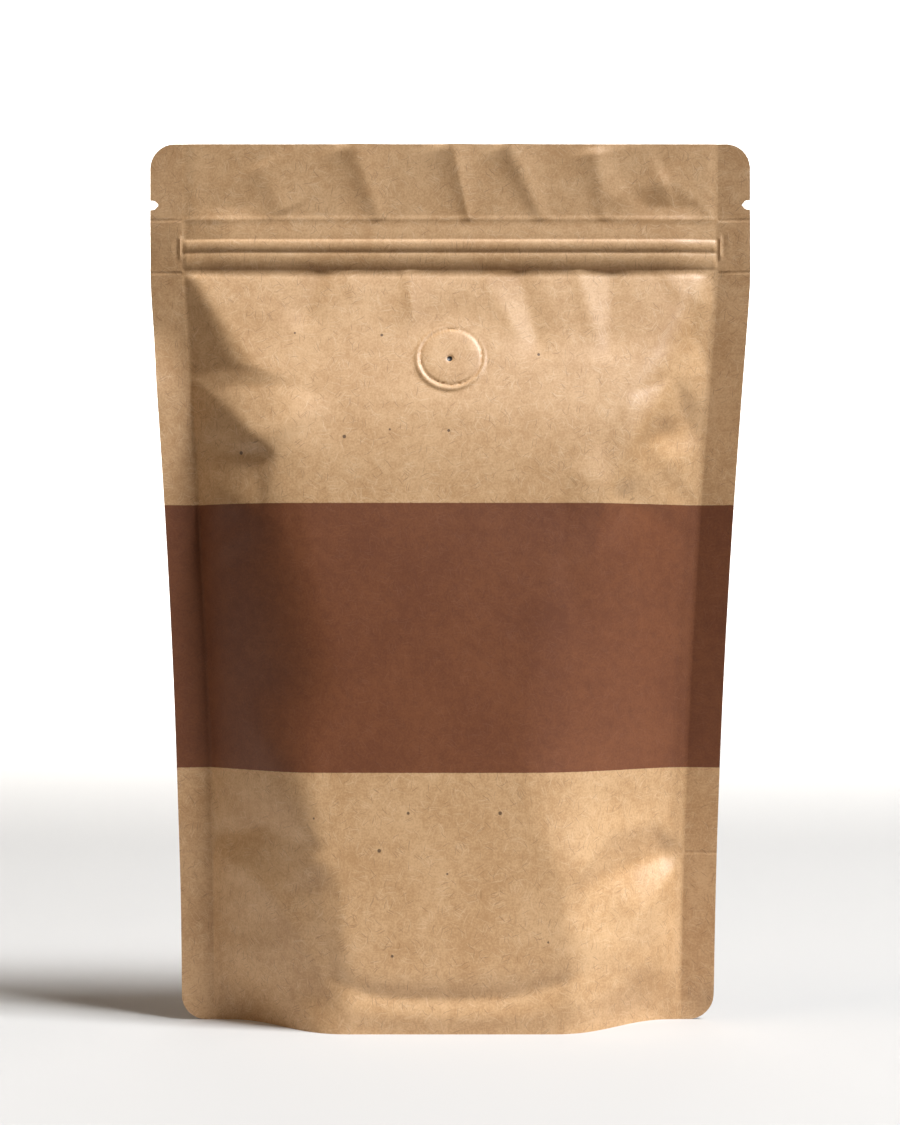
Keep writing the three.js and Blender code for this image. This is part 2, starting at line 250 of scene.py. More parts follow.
# %% Fold lines
front_folds = [
    # left, from the zip down: valley, ridge, valley, ridge
    [(-69.6, 173.0, 0), (-60.0, 172.8, -0.4), (-51.0, 171.6, -0.5)],
    [(-69.1, 170.6, 0), (-60.0, 162.6, 2.2), (-50.5, 153.5, 2.0), (-45.0, 148.5, 0.6), (-40, 143, 0)],
    [(-67.6, 151.5, 0), (-60.0, 150.0, -1.2), (-51.5, 149.4, -1.4), (-45.0, 148.5, 0.6)],
    [(-67.2, 144.0, 0), (-59.0, 139.5, 1.2), (-49.0, 134.0, 1.0), (-42.0, 128.0, 0)],
    # right, from the zip down: the edge of the calm film, a long ridge, a short valley and ridge
    [(63.0, 192.0, 0), (54.0, 177.0, 0), (46.5, 165.0, 0), (40.5, 153.0, 0)],
    [(70.2, 189.5, 0), (65.0, 181.0, -1.5), (59.5, 170.5, -0.8), (53.5, 160.0, 1.3),
     (47.5, 151.0, 2.2), (42.0, 141.0, 1.9), (38.0, 125.0, 1.0), (36.0, 105.0, 0)],
    [(68.3, 162.5, 0), (62.5, 158.5, -1.9), (57.0, 155.0, -1.6), (52.0, 152.5, 0.6)],
    [(66.8, 153.0, 0), (59.0, 147.5, 1.6), (51.5, 143.5, 1.2), (45.0, 138.0, 0)],
    # right, at the gusset's fold: ridge, valley, ridge
    [(63.2, 48.5, 0), (53.5, 52.5, 0.6), (47.5, 56.0, 0.3), (41.0, 50.5, 0.8),
     (36.0, 44.0, 0.6), (31.5, 38.0, 0)],
    [(62.6, 45.6, 0), (55.8, 43.8, -2.6), (47.5, 41.2, -3.6), (40.0, 39.2, -3.0),
     (34.4, 37.9, -1.3), (31.5, 38.0, 0)],
    [(62.3, 44.0, 0), (57.0, 36.5, 1.0), (50.5, 28.8, 1.2), (44.0, 19.5, 0.9), (39.0, 13.5, 0.3)],
    # left, at the gusset's fold: valley, ridge
    [(-64.2, 47.5, 0), (-58.0, 49.5, -2.2), (-48.0, 52.5, -2.6), (-42.6, 55.5, -0.8), (-38.0, 61.0, 0)],
    [(-63.6, 45.0, 0), (-56.0, 41.6, 2.4), (-47.1, 35.6, 3.6), (-40.1, 25.6, 3.2),
     (-34.5, 17.5, 1.7), (-30.5, 11.4, 0.4)],
]
back_folds = [
    [(69.3, 172.0, 0), (60.0, 170.5, -0.6), (51.0, 168.0, -0.5)],
    [(68.9, 169.0, 0), (61.0, 162.0, 2.2), (52.0, 153.5, 2.2), (46.0, 148.0, 1.0), (40, 142, 0)],
    [(67.2, 149.0, 0), (60.0, 148.4, -1.5), (52.0, 148.2, -1.2), (46.0, 148.0, 1.0)],
    [(-69.6, 183.0, 0), (-62.0, 174.0, 1.7), (-52.0, 163.0, 1.4), (-42, 150, 0)],
    [(-67.8, 158.0, 0), (-60.0, 154.5, -2.4), (-52.0, 151.5, -2.0), (-44.0, 149.0, 0)],
    [(-63.0, 46.0, 0), (-56.0, 44.0, -2.0), (-47.5, 41.5, -3.0), (-40.0, 39.5, -2.0), (-32.0, 38.0, 0)],
    [(-62.7, 44.3, 0), (-57.0, 37.0, 1.7), (-50.5, 29.5, 2.0), (-43.0, 19.5, 1.0), (-39.0, 14.0, 0.2)],
    [(62.8, 47.5, 0), (56.0, 50.0, -2.2), (47.0, 52.0, -2.3), (40.0, 60.0, 0)],
    [(62.4, 45.0, 0), (54.0, 42.5, 1.5), (47.0, 39.0, 1.6), (41.0, 34.0, 0.8), (32.0, 14.0, 0)],
]
print(f"{len(front_folds)} fold lines in front, {len(back_folds)} behind")

# %% [markdown]
# ## Facets between the fold lines
#
# Choosing the triangles by hand would be slow and easy to get wrong. A Delaunay triangulation joins
# any set of points into well-shaped triangles, and Blender's own version can be told which lines it
# must keep, as long as they don't cross. Inside a triangle the height is simply blended between its
# corners, which is what makes each facet flat. Paper has a thickness, so its folds aren't quite
# sharp: the mean of a few close samples rounds them.

# %% Triangles and their heights
from mathutils import Vector
from mathutils.geometry import delaunay_2d_cdt

calm_spacing = 9.0                  # between the rows of points that stay at 0
calm_half = 30.0                    # half the width of the calm middle
fold_rounding = 0.8


def fold_facets(folds):
    """Triangles between the fold lines, the welds and the calm middle of the panel."""
    points, edges = [], []
    for line in folds:
        first_point = len(points)
        points.extend(line)
        edges.extend((k, k + 1) for k in range(first_point, len(points) - 1))
    for z in np.arange(-8, height, calm_spacing):
        middle = -lean * filled_down(z)
        for x in (-chord(z), -calm_half, calm_half, chord(z)):
            points.append((middle + x, z, 0))
    flat_points = [Vector(point[:2]) for point in points]
    corners, _, faces, origins, _, _ = delaunay_2d_cdt(flat_points, edges, [], 0, 1e-4)
    offset = [points[origin[0]][2] for origin in origins]
    return [[(*corners[k], offset[k]) for k in face] for face in faces]


def fold_height(x, z, facets):
    """How far the folds stand out, as the mean of seven close samples."""
    total = np.zeros_like(x)
    ring_of_six = np.arange(6) * math.pi / 3
    places = [(0.0, 0.0)] + [(fold_rounding * math.cos(t), fold_rounding * math.sin(t)) for t in ring_of_six]
    for shift_x, shift_z in places:
        px, pz = x + shift_x, z + shift_z
        height_here = np.zeros_like(x)
        for (x0, z0, h0), (x1, z1, h1), (x2, z2, h2) in facets:
            if h0 == h1 == h2 == 0:
                continue
            area = (x1 - x0) * (z2 - z0) - (x2 - x0) * (z1 - z0)
            u = ((px - x0) * (z2 - z0) - (x2 - x0) * (pz - z0)) / area
            v = ((x1 - x0) * (pz - z0) - (px - x0) * (z1 - z0)) / area
            inside = (u >= 0) & (v >= 0) & (u + v <= 1)
            height_here = np.where(inside, h0 + u * (h1 - h0) + v * (h2 - h0), height_here)
        total = total + height_here / len(places)
    return total


front_facets = fold_facets(front_folds)
back_facets = fold_facets(back_folds)
print(f"{len(front_facets)} facets in front, {len(back_facets)} behind")

# %% [markdown]
# ## Creases
#
# The header and the film under the zip have finer marks: each starts or ends in a point where the
# zip holds the film, and spreads as it runs away from it. One crease is a line with a height and a
# reach at either end, and the reach may differ on its two sides. A steep short side and a long soft
# side is what gives one dark edge and one pale slope. Drawn as geometry, creases also shade rightly
# when the light moves, which a painted shadow wouldn't.

# %% Crease lines
# start and end are (across, up), and each pair of rise, left and right is (at the start, at the end)
front_creases = [
    # in the header, each pinched to a point where the zip holds the film
    dict(start=(-26.0, 233), end=(-18.9, 212.8), rise=(1.3, 0.35), left=(8, 1.8), right=(10, 2.4)),
    dict(start=(0.6, 233), end=(5.0, 212.8), rise=(1.3, 0.35), left=(8, 1.4), right=(7, 1.6)),
    dict(start=(15.5, 233), end=(24.4, 212.8), rise=(1.3, 0.35), left=(6, 1.2), right=(8, 1.8)),
    dict(start=(38.6, 231), end=(41.3, 212.8), rise=(1.1, 0.3), left=(6, 1.2), right=(9, 2.0)),
    dict(start=(-51.0, 227), end=(-44.5, 214.5), rise=(0.7, 0.4), left=(6, 4), right=(14, 9)),
    # beside the right weld the film stands away from the zip in a low arc
    dict(start=(42.5, 218.0), end=(57.0, 224.0), rise=(0.3, 0.8), left=(5, 9), right=(4, 8)),
    dict(start=(57.0, 224.0), end=(70.5, 214.0), rise=(0.8, 0.2), left=(9, 2), right=(8, 3)),
    # under the zip, spreading out as they run down: first those that stand up
    dict(start=(-11.8, 198.8), end=(-9.5, 186), rise=(0.3, 0.8), left=(1.0, 4), right=(4, 14), fades=True),
    dict(start=(-27.5, 198.8), end=(-26.0, 193), rise=(0.15, 0.25), left=(1.2, 3), right=(3, 6), fades=True),
    dict(start=(33.3, 198.8), end=(38.0, 184), rise=(0.3, 0.6), left=(1.2, 5), right=(4, 9), fades=True),
    dict(start=(9.0, 197), end=(16.5, 184), rise=(0.12, 0.4), left=(2, 4), right=(3, 7), fades=True),
    dict(start=(56.3, 198.6), end=(60.5, 193), rise=(0.2, 0.3), left=(0.8, 1.5), right=(3, 6), fades=True),
    # and then those that are sunk in
    dict(start=(-33.5, 198.8), end=(-38.0, 188), rise=(-0.4, -0.7), left=(5, 8), right=(2, 5), fades=True),
    dict(start=(18.5, 198.8), end=(22.5, 182), rise=(-0.4, -0.8), left=(6, 9), right=(3, 6), fades=True),
    dict(start=(43.0, 198.8), end=(42.0, 182), rise=(-0.5, -0.9), left=(5, 9), right=(5, 10), fades=True),
]
back_creases = [
    dict(start=(24.0, 233), end=(19.0, 212.8), rise=(0.8, 0.15), left=(8, 1.0), right=(7, 1.2)),
    dict(start=(-6.0, 233), end=(-9.5, 212.8), rise=(0.6, 0.2), left=(9, 1.0), right=(6, 1.2)),
    dict(start=(-36.5, 233), end=(-40.0, 212.8), rise=(0.7, 0.2), left=(9, 1.0), right=(8, 1.2)),
    dict(start=(14.0, 198.8), end=(12.5, 184), rise=(0.25, 0.8), left=(2, 9), right=(3, 12), fades=True),
    dict(start=(-29.0, 198.8), end=(-33.0, 184), rise=(0.25, 0.7), left=(3, 9), right=(4, 10), fades=True),
]


def crease_height(x, z, creases):
    total = np.zeros_like(x)
    for crease in creases:
        (x0, z0), (x1, z1) = crease["start"], crease["end"]
        dx, dz = x1 - x0, z1 - z0
        length = math.hypot(dx, dz)
        along = ((x - x0) * dx + (z - z0) * dz) / length ** 2
        off = ((x - x0) * -dz + (z - z0) * dx) / length      # to the right of the way down
        inside = np.clip(along, 0, 1)
        reach = np.where(off > 0, mix(*crease["right"], inside), mix(*crease["left"], inside))
        side = (np.sqrt(off ** 2 + 0.04) - 0.2) / reach
        profile = np.exp(-side - 0.6 * side ** 2)
        fade_out = 1 - ease(1, 1.6, along) if crease.get("fades") else 1 - ease(0.97, 1.03, along)
        total = total + mix(*crease["rise"], inside) * profile * fade_out * ease(-0.06, 0.02, along)
    return total


print(f"{len(front_creases)} creases in front, {len(back_creases)} behind")

# %% [markdown]
# ## The zip
#
# The press-to-close zip is a tape with two plastic profiles behind the film, which shows them as two
# long ridges. Nothing of the zip itself can be seen, so only the film over it is made: a flat tape
# with two rounded ridges. Beside the welds the tape is squeezed flat slowly and the stiffer profiles
# quickly. Under the welds they are crushed to one pressed bar.

# %% Tape, ridges and crushed ends
# (height of its middle, half its width, how far it stands out)
zip_ridges = [(205.6, 1.75, 0.62), (201.8, 2.3, 0.52)]


def zip_height(z):
    """Height of the tape, and of the two ridges over it."""
    tape = 1.2 + 0.5 * ease(zip_head + 1, 207, z) * ease(zip_foot - 1, 204, z)
    ridges = np.zeros_like(z)
    for middle, half, rise in zip_ridges:
        u = np.clip(1 - np.abs(z - middle) / half, 0, 1)
        ridges = np.maximum(ridges, rise * (u * (2 - u)) ** 0.6)
    return tape, ridges


def crushed_zip(out, z):
    """The zip's ends under the side welds: a pressed bar, and the step where the tape stops."""
    along_zip = ease(201.5, 203.5, z) * (1 - ease(207.6, 208.4, z))
    bar = 0.32 * bump(out - panel - 0.55, 0.35) - 0.18 * bump(out - panel - 1.5, 0.4)
    tape_end = 0.12 * ease(panel + 3.6, panel + 2.6, out) * ease(zip_foot - 0.5, zip_foot + 0.5, z)
    return bar * along_zip + tape_end * (1 - ease(zip_head, zip_head + 0.8, z))


def with_zip(h, x, z, edge):
    """Puts the zip, and the film that puffs out above it, over the depth h of the panel."""
    tape, ridges = zip_height(np.maximum(z, zip_foot))
    tape_ends, ridge_ends = ease(0, 0.35, edge), ease(0.004, 0.03, edge)
    zipped = mix(film / 2, tape, tape_ends) + ridges * ridge_ends
    h = mix(h, zipped, ease(zip_foot - 1.5, zip_foot, z))
    from_tape = np.clip(z - zip_head, 0, None)
    fall = mix(3.6, 26, 1 - ease(36, 55, np.abs(x + 1)))
    puff_height = 0.95 + 0.05 * ease(-50, -60, x)
    puff = puff_height * soft_max(1 - from_tape / fall, 0 * z, 0.15) * ease(0, 0.3, edge)
    lip = 0.22 * bump(from_tape - 0.35, 0.4) * ridge_ends
    return np.where(z >= zip_head, film / 2 + puff + lip, h)


print(f"zip: {zip_head - zip_foot:.1f} mm of tape, {len(zip_ridges)} ridges")

# %% [markdown]
# ## The valve
#
# The one-way valve is a stiff disc welded behind the front panel. The film over it stays flat, with
# a pressed ring around it and a pinhole in its middle that lets gas out. A separate disc laid on the
# pouch would show a gap all around, so the ring is pressed into the same skin: a raised disc with
# soft edges, a groove set slightly off its middle, as in the photo, and a small dimple.

# %% The valve's pressed ring
valve_height = 174.9
valve_x = 0.0
ring_radius = 9.75
groove_radius = 8.25


def valve_relief(x, z, slope):
    """The ring, groove and pinhole, measured along the film, which slopes back by slope."""
    up = (z - valve_height) * math.sqrt(1 + slope ** 2)
    ring = np.hypot(x - valve_x, up)
    disc = np.hypot(x - valve_x - 0.3, up - 0.55)
    raised = 0.5 * (1 - ease(8.6, ring_radius, ring))
    groove = 0.5 * bump(disc - groove_radius, 0.40)
    edge = 0.16 * ease(5.0, 8.0, disc)
    pin = 0.5 * (1 - ease(0.3, 1.1, ring))
    return raised - groove - edge * (disc < groove_radius) - pin


def with_valve(h, x, z):
    """Flattens the film around the valve and presses its ring into it."""
    probe = 1.0
    levels = np.array([valve_height - probe, valve_height, valve_height + probe])
    below, at, above = filled_depth(np.zeros(3), levels)
    slope = (above - below) / (2 * probe)
    plane = at + slope * (z - valve_height)
    away = np.hypot(x, z - valve_height)
    return mix(plane, h, ease(10.3, 20, away)) + valve_relief(x, z, slope)


print(f"valve: ring {2 * ring_radius:.1f} mm across, {valve_height:.1f} mm up")

# %% [markdown]
# ## One whole panel
#
# Now the parts are put together in the order in which they lie on the real film: the filled form,
# the folds, the zip, the creases and the valve. Welds are the simplest: there the film is flat, at
# half the thickness of two layers. They aren't quite upright. In the photo the right one is turned
# away from the light and is darker than the left one, so `middle_plane` turns each weld a little.

# %% Depth of a panel, and the plane between the two
def panel_depth(a, z, is_front):
    t = np.clip(a / panel, -1, 1)
    x = across(np.clip(a, -panel, panel), z)
    edge = 1 - t * t                # 0 at the welds, 1 in the middle
    facets = front_facets if is_front else back_facets
    creases = front_creases if is_front else back_creases
    h = filled_depth(x, z) + fold_height(x, z, facets)
    h = with_zip(h, x, z, edge)
    h = h + crease_height(x, z, creases) * ease(0, 0.08, edge)
    h = soft_max(np.full_like(h, film / 2), h, 1.2 * ease(0, 0.1, edge) + 1e-3)
    if is_front:
        h = with_valve(h, x, z)
    return np.where(np.abs(t) >= 1, film / 2 + crushed_zip(np.abs(a), z), h)


def middle_plane(a, z):
    """The plane midway between the panels: flat between the welds, and turned back in them."""
    outside = np.maximum(0, np.abs(a) - panel)
    right_turn = at_heights(z, (0, 0.0), (10, 0.25), (60, 0.2), (180, 0.2), (200, 0.15), (220, 0.1))
    left_turn = at_heights(z, (30, 0.1), (60, 0.25), (165, 0.25), (185, -0.1), (200, -0.1), (215, 0.0))
    return -outside * np.where(a > 0, right_turn, left_turn)


middle_line = panel_depth(np.zeros(3), np.array([60.0, 120.0, 190.0]), True)
print("panel depth on the middle line:", np.round(middle_line, 1), "mm at 60, 120 and 190")

# %% [markdown]
# ## The grid of the film
#
# The mesh is one grid of columns and rows, close together where the shape is fine: at the welds,
# over the zip and around the valve. A subdivision modifier would add the same detail everywhere, and
# most of it would be wasted on plain paper.

# %% Columns and rows
def spaced(stops):
    """Values from the first stop to the last; each stop is (value, spacing from there on)."""
    values = []
    for (start, spacing), (end, _) in zip(stops, stops[1:]):
        count = max(1, round((end - start) / spacing))
        values.extend(np.linspace(start, end, count, endpoint=False))
    values.append(stops[-1][0])
    return np.array(values)


def arc_columns(count):
    """Columns that come closer together towards the edge, for the round corners."""
    turn = np.linspace(0, math.pi / 2, count + 1)[1:]
    return width / 2 - corner_radius * (1 - np.sin(turn))


inner_half = spaced([(0, 0.4), (10.8, 1.2), (panel - 8, 0.8), (panel - 2, 0.5), (panel, 0.5)])
outer_half = np.concatenate([panel + np.array([0.25, 0.5, 0.8, 1.2, 1.7, 2.3]), arc_columns(8)])
columns = np.concatenate([-outer_half[::-1], -inner_half[:0:-1], inner_half, outer_half])
rows = spaced([
    (0, 1.2), (22, 1.6), (60, 2.2), (130, 1.6), (165, 0.45), (186.6, 1.1), (195, 0.6),
    (zip_foot, 0.3), (208, 0.8), (zip_head, 0.4), (213.5, 0.7),
    (215.4, 0.12), (215.64, 0.3), (217.76, 0.12), (218.0, 1.1), (height, 1),
])
print(f"{len(columns)} columns by {len(rows)} rows, {4 * len(columns) * len(rows)} triangles for both panels")

# %% [markdown]
# ## Corners, tear notches and the two sheets
#
# Cutting the round corners and the notches with booleans would leave long thin triangles. Here the
# grid is bent to the cut edge instead: near the foot and the top the rows follow the round corners,
# and at the notches the outermost columns are pushed in. Each sheet keeps two things: where its
# points are in space, and where they lie on the flat film, which the paper is painted by.

# %% The two sheets
def corner_cut(a):
    past = np.clip(np.abs(a) - (width / 2 - corner_radius), 0, corner_radius)
    return corner_radius - np.sqrt(corner_radius ** 2 - past ** 2)


def notched(a, z):
    """Pushes the outermost columns in where a tear notch is cut."""
    mouth, notch_depth, notch_height = 1.2, 2.25, 216.7
    lip, reach = 1.15, 4.2          # how far the mouth is cut straight in, and how many mm of columns move
    off = np.abs(z - notch_height)
    cut = np.where(off < mouth, lip + (notch_depth - lip) * (1 - off / mouth), 0)
    share = np.clip((np.abs(a) - (width / 2 - reach)) / reach, 0, 1)
    return a - np.sign(a) * share * cut


def sheet(is_front):
    a = np.repeat(columns[:, None], len(rows), axis=1)
    near_foot = np.clip(1 - rows / 20, 0, 1)
    near_top = np.clip(1 - (height - rows) / 14, 0, 1)
    z = rows + corner_cut(a) * (near_foot - near_top)
    a = notched(a, z)
    h = panel_depth(a, z, is_front)
    y = middle_plane(a, z) + (-h if is_front else h)
    return np.stack([across(a, z), y, z], axis=-1), np.stack([a, z], axis=-1)


front, front_flat = sheet(True)
back, back_flat = sheet(False)
print(f"front stands out to {-front[..., 1].min():.1f} mm, back to {back[..., 1].max():.1f} mm")

# %% [markdown]
# ## Under the gusset
#
# Turned over, a stand-up pouch shows a hollow: the gusset is a third piece of film, folded up
# between the two skirts. Its fold lies on the table in the middle, pressed down by the coffee, and
# climbs to the side welds. The inside of each skirt is the same sheet again, one film thickness in.
# From its top the roof of the hollow runs in to the fold, where front and back meet.

# %% The hollow under the gusset
skirt_film = 0.6
hollow_half = 66.0                  # half the width of the hollow
weld_clearance = 0.8                # how far under the gusset's weld the skirt's inside stops
inner = np.where(np.abs(columns) < hollow_half)[0]


def hollow(is_front):
    """The inside of one skirt from its foot up, and the gusset's roof in to its fold."""
    levels, roof_steps = 14, 22
    sign = -1 if is_front else 1
    a = columns[inner]
    top = gusset_weld(across(a, np.zeros_like(a))) - weld_clearance
    points = []
    for k in range(levels):
        z = top * k / levels
        h = panel_depth(a, z, is_front) - skirt_film
        points.append(np.stack([across(a, z), sign * h, z], axis=-1))
    x = across(a, top)
    roof_start = panel_depth(a, top, is_front) - skirt_film
    fold = (gusset + 1.2) * ease(14, 66, np.abs(x)) ** 0.9 - 1.2
    for k in range(roof_steps + 1):
        u = 1 - k / roof_steps
        z = soft_max(mix(fold, top, u ** 2.4), np.zeros_like(fold), 0.5)
        points.append(np.stack([x, sign * roof_start * u ** 0.8, z], axis=-1))
    return np.stack(points, axis=1)


front_inside = hollow(True)
back_inside = hollow(False)
print(f"hollow: {len(inner)} columns wide, its fold {front_inside[0, -1, 2]:.1f} mm up at the side")

# %% [markdown]
# ## Joining it into one closed skin
#
# Four grids now have to become one skin without a gap: two panels and two insides. Every grid gets
# its own run of point numbers, and faces are made from blocks of numbers instead of one by one. The
# fold of the gusset is shared, so the back's inside borrows the front's last row. Thin strips close
# the sides, the top and the foot, and four small faces close the hollow's corners. A face's points
# must run anticlockwise seen from outside, which is why some of the blocks are flipped.

# %% Faces
def grid_faces(index, flip):
    a, b, c, d = index[:-1, :-1], index[1:, :-1], index[1:, 1:], index[:-1, 1:]
    blocks = np.stack([a, b, c, d], axis=-1).reshape(-1, 4)
    return blocks[:, ::-1] if flip else blocks


def strip_faces(first_edge, second_edge, flip):
    blocks = np.stack([first_edge[:-1], first_edge[1:], second_edge[1:], second_edge[:-1]], axis=-1)
    return blocks[:, ::-1] if flip else blocks


def numbered(shape, start):
    return np.arange(start, start + shape[0] * shape[1]).reshape(shape)


front_ids = numbered(front.shape[:2], 0)
back_ids = numbered(back.shape[:2], front_ids.size)
inside_front_ids = numbered(front_inside.shape[:2], front_ids.size + back_ids.size)
roof_free = back_inside[:, :-1]     # the back's inside without the shared fold
inside_back_ids = numbered(roof_free.shape[:2], inside_front_ids[-1, -1] + 1)
inside_back_ids = np.concatenate([inside_back_ids, inside_front_ids[:, -1:]], axis=1)

first, last = inner[0], inner[-1]
quads = [
    grid_faces(front_ids, False),
    grid_faces(back_ids, True),
    grid_faces(inside_front_ids, True),
    grid_faces(inside_back_ids, False),
    strip_faces(front_ids[:, -1], back_ids[:, -1], False),
    strip_faces(front_ids[0], back_ids[0], True),
    strip_faces(front_ids[-1], back_ids[-1], False),
    strip_faces(front_ids[:first + 1, 0], back_ids[:first + 1, 0], True),
    strip_faces(front_ids[last:, 0], back_ids[last:, 0], True),
    strip_faces(front_ids[inner, 0], inside_front_ids[:, 0], True),
    strip_faces(inside_back_ids[:, 0], back_ids[inner, 0], True),
    strip_faces(inside_front_ids[0, :-1], inside_back_ids[0, :-1], False),
    strip_faces(inside_front_ids[-1, :-1], inside_back_ids[-1, :-1], True),
]
bridges = [
    [front_ids[first, 0], inside_front_ids[0, 0], inside_back_ids[0, 0], back_ids[first, 0]],
    [back_ids[last, 0], inside_back_ids[-1, 0], inside_front_ids[-1, 0], front_ids[last, 0]],
]
caps = [
    [inside_front_ids[0, -2], inside_front_ids[0, -1], inside_back_ids[0, -2]],
    [inside_front_ids[-1, -2], inside_back_ids[-1, -2], inside_front_ids[-1, -1]],
]
all_points = np.concatenate([grid.reshape(-1, 3) for grid in (front, back, front_inside, roof_free)])
all_faces = np.concatenate(quads).tolist() + bridges + caps
print(f"{len(all_points)} points, {len(all_faces)} faces")

# %% [markdown]
# ## The mesh
#
# `from_pydata` turns lists of points and faces into a Blender mesh. The skin is shaded smooth, and
# edges sharper than 50 degrees, such as the cut edges, stay crisp. Then bmesh counts the edges that
# don't have a face on each side: none may be left, or the pouch would have a hole in it.

# %% Mesh and object
import bmesh

mesh = bpy.data.meshes.new("pouch_film")
mesh.from_pydata((all_points / 1000).tolist(), [], all_faces)
mesh.validate(verbose=False)
mesh.shade_smooth()
mesh.set_sharp_from_angle(angle=math.radians(50))
pouch = bpy.data.objects.new("pouch_film", mesh)
bpy.context.collection.objects.link(pouch)

check = bmesh.new()
check.from_mesh(mesh)
loose = [edge for edge in check.edges if len(edge.link_faces) != 2]
triangles = sum(len(face.verts) - 2 for face in check.faces)
print(f"mesh: {len(mesh.vertices)} points, {triangles} triangles, {len(loose)} open edges, "
      f"volume {check.calc_volume() * 1e6:.0f} cm3")
check.free()

# %% [markdown]
# ## Where each point lies on the flat film
#
# Paper and print belong to the flat sheet, so every point keeps its flat place as a named attribute
# of the mesh. A UV map would do the same, but an attribute holds plain millimetres, and the
# material can then say "a band from 66.9 to 136.6". The back and the underside are shifted sideways
# by 500 and 1000 mm, so that their fibres aren't a copy of the front's.

# %% The flat places
back_shift, under_shift = 500, 1000


def flat_of(points):
    return np.stack([points[..., 0], points[..., 2]], axis=-1)


flats = np.concatenate([
    front_flat.reshape(-1, 2),
    back_flat.reshape(-1, 2) + [back_shift, 0],
    flat_of(front_inside).reshape(-1, 2) + [under_shift, 0],
    flat_of(roof_free).reshape(-1, 2) + [under_shift, 0],
])
attribute = mesh.attributes.new("flat", "FLOAT_VECTOR", "POINT")
vectors = np.column_stack([flats, np.zeros(len(flats))]).astype(np.float32)
attribute.data.foreach_set("vector", vectors.ravel())
print(f"flat places kept for {len(vectors)} points")

# %% [markdown]
# ## The paper
#
# Unbleached kraft is never one flat colour. Three things make it: soft clouds where the pulp lay
# thicker, a fine grain, and single fibres a few millimetres long, some paler and some darker than
# the sheet. They are all painted in the flat distances kept with the mesh, so the fibres keep their
# length where the film is folded. A photograph of paper would do the same work for one pouch only;
# the procedural paper can be made coarser, paler or greyer with a number.
#
# Node trees written out in full are long and hard to read, so a few helpers come first. Each makes
# one node and hands back its output, and then a material reads almost like a sum.

# %% Helpers for building the material
paper = bpy.data.materials.new("kraft_paper")
paper.use_nodes = True
nodes, links = paper.node_tree.nodes, paper.node_tree.links
nodes.clear()


def linear(red, green, blue):
    """A colour as painting programs name it, 0 to 255, in the linear values that shaders want."""
    def one(v):
        v = v / 255
        return v / 12.92 if v <= 0.04045 else ((v + 0.055) / 1.055) ** 2.4
    return (one(red), one(green), one(blue), 1)


def node(kind, **settings):
    """Makes a node; each setting is one of its inputs or, if it has no such input, a property."""
    made = nodes.new(kind)
    for name, value in settings.items():
        if name in made.inputs:
            made.inputs[name].default_value = value
        else:
            setattr(made, name, value)
    return made


def feed(socket, value):
    """Links an output to the socket, or sets the socket to a number or colour."""
    if isinstance(value, bpy.types.NodeSocket):
        links.new(value, socket)
    else:
        socket.default_value = value


def calc(operation, *values):
    made = node("ShaderNodeMath", operation=operation)
    for socket, value in zip(made.inputs, values):
        feed(socket, value)
    return made.outputs[0]


def step(value, start, end):
    """0 where value is at start or before, 1 from end on, smooth between."""
    made = node("ShaderNodeMapRange", interpolation_type="SMOOTHSTEP")
    feed(made.inputs["Value"], value)
    feed(made.inputs["From Min"], start)
    feed(made.inputs["From Max"], end)
    return made.outputs[0]


def blend(factor, first_color, second_color, kind="MIX"):
    made = node("ShaderNodeMix", data_type="RGBA", blend_type=kind)
    feed(made.inputs["Factor"], factor)
    feed(made.inputs["A"], first_color)
    feed(made.inputs["B"], second_color)
    return made.outputs["Result"]


def strongest(layers):
    total = layers[0]
    for layer in layers[1:]:
        total = calc("MAXIMUM", total, layer)
    return total


print("paper: empty material ready")

# %% [markdown]
# ## Clouds and grain
#
# Noise textures at three sizes give the clouds, the mottle and the grain of the sheet. Added
# together and stretched to full contrast they make `tone`, which later runs between the sheet's
# darker and paler brown. One noise at one size would look like dirt; real paper varies at every size.

# %% Tone of the sheet
flat = node("ShaderNodeAttribute", attribute_name="flat").outputs["Vector"]
flat_parts = node("ShaderNodeSeparateXYZ")
links.new(flat, flat_parts.inputs[0])
flat_across, flat_up = flat_parts.outputs["X"], flat_parts.outputs["Y"]


def noise(size, detail, roughness=0.5):
    """Noise whose blots are about size millimetres wide."""
    made = node("ShaderNodeTexNoise", noise_dimensions="2D", Scale=1 / size)
    made.inputs["Detail"].default_value = detail
    made.inputs["Roughness"].default_value = roughness
    links.new(flat, made.inputs["Vector"])
    return made


cloud = noise(16, 4.0).outputs["Fac"]
mottle = noise(2.6, 3.0, 0.6).outputs["Fac"]
grain = noise(0.55, 2.0, 0.6).outputs["Fac"]
tone = calc("MULTIPLY_ADD", cloud, 0.60, calc("MULTIPLY_ADD", mottle, 0.55, calc("MULTIPLY", grain, 0.75)))
tone = step(tone, 0.62, 1.28)
print(f"tone: {len(nodes)} nodes")

# %% [markdown]
# ## Fibres
#
# A fibre in kraft is a hair about 4 mm long and 0.2 mm thick, slightly bent, and lies at any angle.
# Drawing thousands of curves would be slow. A Voronoi pattern, stretched until its cells are as long
# and thin as a fibre, gives the same look: a small share of the cells, chosen by their random
# colour, is filled around its middle. A few layers at different angles hide that each one is
# straight, and a wandering offset bends them all.

# %% Pale and dark fibres
wander = noise(4.0, 1.0).outputs["Color"]
bend_by = node("ShaderNodeVectorMath", operation="SCALE", Scale=1.6)
links.new(wander, bend_by.inputs[0])
bent = node("ShaderNodeVectorMath", operation="ADD")
links.new(flat, bent.inputs[0])
links.new(bend_by.outputs[0], bent.inputs[1])


